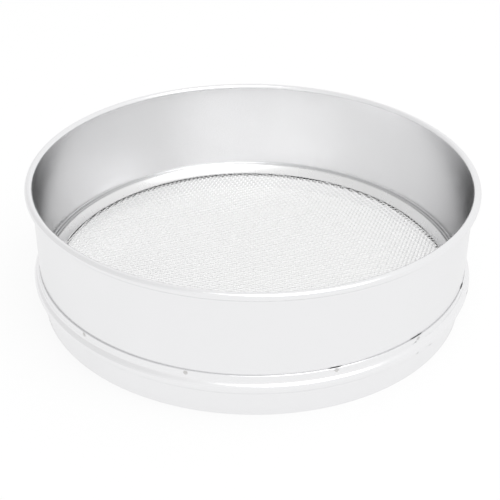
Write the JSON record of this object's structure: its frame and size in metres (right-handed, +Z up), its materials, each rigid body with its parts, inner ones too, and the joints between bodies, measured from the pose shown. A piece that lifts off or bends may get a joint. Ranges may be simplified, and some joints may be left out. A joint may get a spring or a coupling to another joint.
{
  "type": "test sieve",
  "caption": "Round stainless steel test sieve: rolled-rim shell, woven wire cloth held by a ring, and a bulged skirt with a nesting spigot.",
  "frame": {"origin": "middle of the circle that the skirt stands on", "axes": "+Z up the sieve's axis, from the foot to the rim"},
  "size_m": [0.2072, 0.2072, 0.0615],
  "materials": {
    "frame_steel": "satin, spun",
    "skirt_steel": "satin, spun",
    "cloth_steel": "drawn wire, plain weave",
    "ring_steel": "smooth, rolled"
  },
  "bodies": {
    "root": {"upper_frame": "frame_steel", "skirt": "skirt_steel", "wire_cloth": "cloth_steel", "retaining_ring": "ring_steel"}
  },
  "joints": []
}
